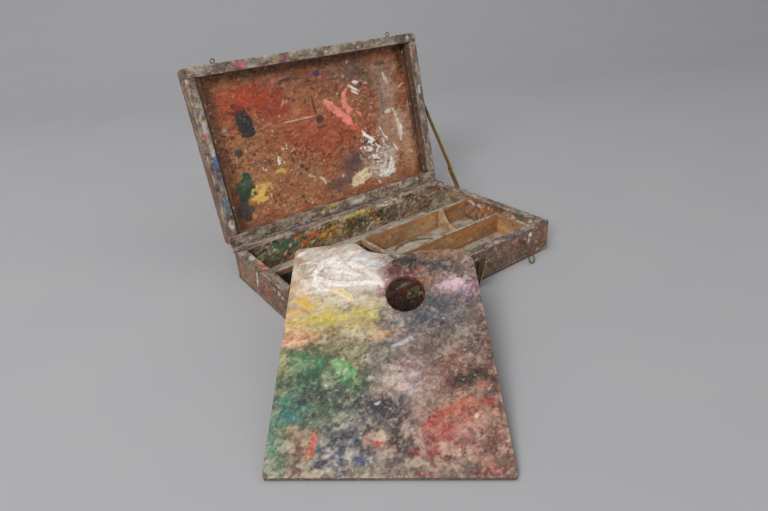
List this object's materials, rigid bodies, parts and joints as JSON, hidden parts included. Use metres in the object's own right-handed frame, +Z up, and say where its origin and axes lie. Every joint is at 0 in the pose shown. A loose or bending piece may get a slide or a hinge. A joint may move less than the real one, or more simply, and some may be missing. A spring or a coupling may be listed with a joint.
{
  "type": "artist paint box",
  "caption": "Wooden artist's paint box with divided tray, hinged lid on a folding brass stay, side hooks, leather-covered handle and a thumb-hole palette leaning on its corner.",
  "frame": {"origin": "centre of the flat underside of the base, on the table", "axes": "+X to the right end (the stay's side), +Y to the back (the hinge side), +Z up"},
  "size_m": [0.4741, 0.5144, 0.2667],
  "materials": {
    "base_wood": "old varnished softwood, paint stained",
    "lid_wood": "old varnished plywood and rails, paint stained",
    "divider_wood": "raw softwood, paint stained",
    "palette_wood": "oiled plywood under thick dried oil paint",
    "brass": "aged, lightly tarnished",
    "black_tin": "black japanned tin",
    "leather": "dark worn leather",
    "steel": "dull nail heads"
  },
  "bodies": {
    "base": {"base_bottom_board": "base_wood", "base_front_wall": "base_wood", "base_back_wall": "base_wood", "base_left_wall": "base_wood", "base_right_wall": "base_wood", "long_divider": "divider_wood", "cross_divider": "divider_wood", "short_divider": "divider_wood", "brush_rest_divider": "divider_wood", "trough_scoop": "divider_wood", "front_end_board": "divider_wood", "tin_liner": "black_tin", "hinge_base_leaves": "brass", "hinge_pins": "brass", "hinge_base_screws": "brass", "hook_staples": "brass", "handle_plates": "brass", "handle_screws": "brass", "stay_lower_screw": "brass", "base_corner_nails": "steel", "base_bottom_nails": "steel"},
    "lid": {"lid_front_rail": "lid_wood", "lid_back_rail": "lid_wood", "lid_left_rail": "lid_wood", "lid_right_rail": "lid_wood", "lid_board": "lid_wood", "panel_runner_outer_left": "divider_wood", "panel_runner_inner_left": "divider_wood", "panel_runner_outer_right": "divider_wood", "panel_runner_inner_right": "divider_wood", "lid_hook_eyes": "brass", "hinge_lid_leaves": "brass", "hinge_lid_screws": "brass", "stay_upper_screw": "brass", "lid_corner_nails": "steel", "lid_board_nails": "steel"},
    "handle": {"handle_bail": "brass", "handle_grip": "leather", "handle_end_tabs": "leather"},
    "hook_left": {"hook_left": "brass"},
    "hook_right": {"hook_right": "brass"},
    "stay_lower": {"stay_lower_link": "brass"},
    "stay_upper": {"stay_upper_link": "brass", "stay_elbow_rivet": "brass"},
    "palette": {"palette_board": "palette_wood"}
  },
  "joints": [
    {"name": "lid_hinge", "type": "hinge", "parent": "base", "child": "lid", "pos_m": [0, 0.1133, 0.04215], "axis": [1, 0, 0], "range_deg": [0, 100.73]},
    {"name": "stay_upper_pivot", "type": "hinge", "parent": "lid", "child": "stay_upper", "pos_m": [0.1778, 0.14873, 0.16734], "axis": [1, 0, 0], "range_deg": [0, 7.8]},
    {"name": "stay_lower_pivot", "type": "hinge", "parent": "base", "child": "stay_lower", "pos_m": [0.1765, 0.0582, 0.033], "axis": [1, 0, 0], "range_deg": [-71.6, 0]},
    {"name": "hook_left_swing", "type": "hinge", "parent": "base", "child": "hook_left", "pos_m": [-0.142, -0.1139, 0.028], "axis": [-1, 0, 0], "range_deg": [0, 160]},
    {"name": "hook_right_swing", "type": "hinge", "parent": "base", "child": "hook_right", "pos_m": [0.124, -0.1139, 0.028], "axis": [-1, 0, 0], "range_deg": [0, 158]},
    {"name": "handle_swing", "type": "hinge", "parent": "base", "child": "handle", "pos_m": [0, -0.1169, 0.029], "axis": [-1, 0, 0], "range_deg": [0, 165]},
    {"name": "palette_slide", "type": "slide", "parent": "base", "child": "palette", "axis": [-0.6382, -0.7698, 0], "range_m": [0, 0.3]}
  ],
  "couplings": [
    {"joint": "stay_upper_pivot", "follows": "lid_hinge", "ratio": 0.076958},
    {"joint": "stay_lower_pivot", "follows": "lid_hinge", "ratio": -0.71},
    {"joint": "hook_left_swing", "follows": "lid_hinge", "ratio": 1.5684},
    {"joint": "palette_slide", "follows": "lid_hinge", "m_per_rad": 0.17}
  ]
}
